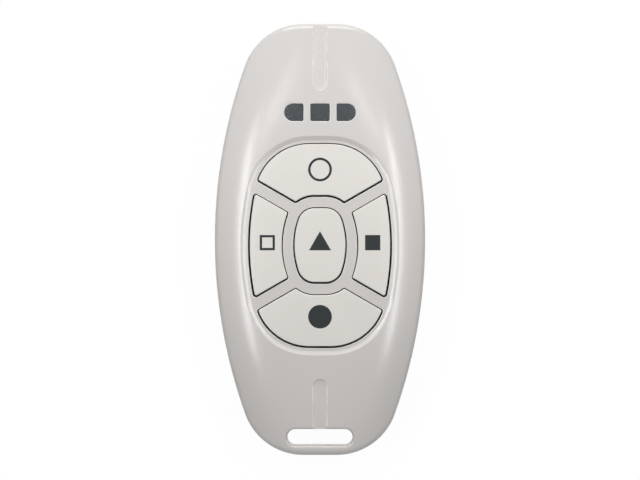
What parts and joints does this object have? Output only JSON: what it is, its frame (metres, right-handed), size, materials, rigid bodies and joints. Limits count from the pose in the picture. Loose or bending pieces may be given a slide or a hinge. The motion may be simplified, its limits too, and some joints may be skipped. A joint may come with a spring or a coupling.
{
  "type": "key fob remote control",
  "caption": "Hand-held wireless remote control with five symbol keys in an oval field, a row of indicator windows and a lanyard slot, for an alarm or smart home system.",
  "frame": {"origin": "middle of the flat of the back, under the middle of the housing", "axes": "+Z out of the key face, +Y along the length towards the indicator windows, +X to the right seen from the front"},
  "size_m": [0.038, 0.078, 0.016],
  "materials": {
    "front_plastic": "fine moulded texture, pale warm grey",
    "rear_plastic": "fine moulded texture, pale warm grey",
    "key_plastic": "satin, warm white, slightly translucent",
    "mark_ink": "dark slate inlay",
    "smoke_lens": "polished smoke grey",
    "mat_rubber": "dull dark silicone",
    "carbon_rubber": "carbon filled, matt",
    "board_laminate": "green solder mask",
    "pad_gold": "gold plated",
    "copper_foil": "bare copper",
    "cell_metal": "brushed nickel plate",
    "contact_spring_steel": "rolled spring strip",
    "screw_steel": "zinc plated",
    "chip_epoxy": "moulded epoxy",
    "crystal_can": "drawn metal can",
    "capacitor_ceramic": "fired ceramic",
    "resistor_body": "glazed chip",
    "led_green_resin": "clear tinted resin",
    "led_amber_resin": "clear tinted resin",
    "led_red_resin": "clear tinted resin"
  },
  "bodies": {
    "housing": {"front_cover": "front_plastic", "rear_cover": "rear_plastic", "case_screws": "screw_steel", "circuit_board": "board_laminate", "contact_pads": "pad_gold", "keypad_mat": "mat_rubber", "indicator_lens": "smoke_lens", "led_green": "led_green_resin", "led_amber": "led_amber_resin", "led_red": "led_red_resin", "coin_battery": "cell_metal", "battery_positive_contact": "contact_spring_steel", "battery_negative_contact": "contact_spring_steel", "microcontroller": "chip_epoxy", "radio_chip": "chip_epoxy", "crystal": "crystal_can", "antenna_loop": "copper_foil", "chip_capacitors": "capacitor_ceramic", "chip_resistors": "resistor_body", "key_web_top": "mat_rubber", "key_web_left": "mat_rubber", "key_web_center": "mat_rubber", "key_web_right": "mat_rubber", "key_web_bottom": "mat_rubber"},
    "key_top": {"key_cap_top": "key_plastic", "key_mark_top": "mark_ink", "key_plunger_top": "mat_rubber", "contact_pill_top": "carbon_rubber"},
    "key_left": {"key_cap_left": "key_plastic", "key_mark_left": "mark_ink", "key_plunger_left": "mat_rubber", "contact_pill_left": "carbon_rubber"},
    "key_center": {"key_cap_center": "key_plastic", "key_mark_center": "mark_ink", "key_plunger_center": "mat_rubber", "contact_pill_center": "carbon_rubber"},
    "key_right": {"key_cap_right": "key_plastic", "key_mark_right": "mark_ink", "key_plunger_right": "mat_rubber", "contact_pill_right": "carbon_rubber"},
    "key_bottom": {"key_cap_bottom": "key_plastic", "key_mark_bottom": "mark_ink", "key_plunger_bottom": "mat_rubber", "contact_pill_bottom": "carbon_rubber"}
  },
  "joints": [
    {"name": "key_top_press", "type": "slide", "parent": "housing", "child": "key_top", "axis": [0, 0, -1], "range_m": [0, 0.0009], "stiffness_N_per_m": 800, "springref_m": -0.0008, "deforming": ["key_web_top"]},
    {"name": "key_left_press", "type": "slide", "parent": "housing", "child": "key_left", "axis": [0, 0, -1], "range_m": [0, 0.0009], "stiffness_N_per_m": 800, "springref_m": -0.0008, "deforming": ["key_web_left"]},
    {"name": "key_center_press", "type": "slide", "parent": "housing", "child": "key_center", "axis": [0, 0, -1], "range_m": [0, 0.0009], "stiffness_N_per_m": 800, "springref_m": -0.0008, "deforming": ["key_web_center"]},
    {"name": "key_right_press", "type": "slide", "parent": "housing", "child": "key_right", "axis": [0, 0, -1], "range_m": [0, 0.0009], "stiffness_N_per_m": 800, "springref_m": -0.0008, "deforming": ["key_web_right"]},
    {"name": "key_bottom_press", "type": "slide", "parent": "housing", "child": "key_bottom", "axis": [0, 0, -1], "range_m": [0, 0.0009], "stiffness_N_per_m": 800, "springref_m": -0.0008, "deforming": ["key_web_bottom"]}
  ]
}
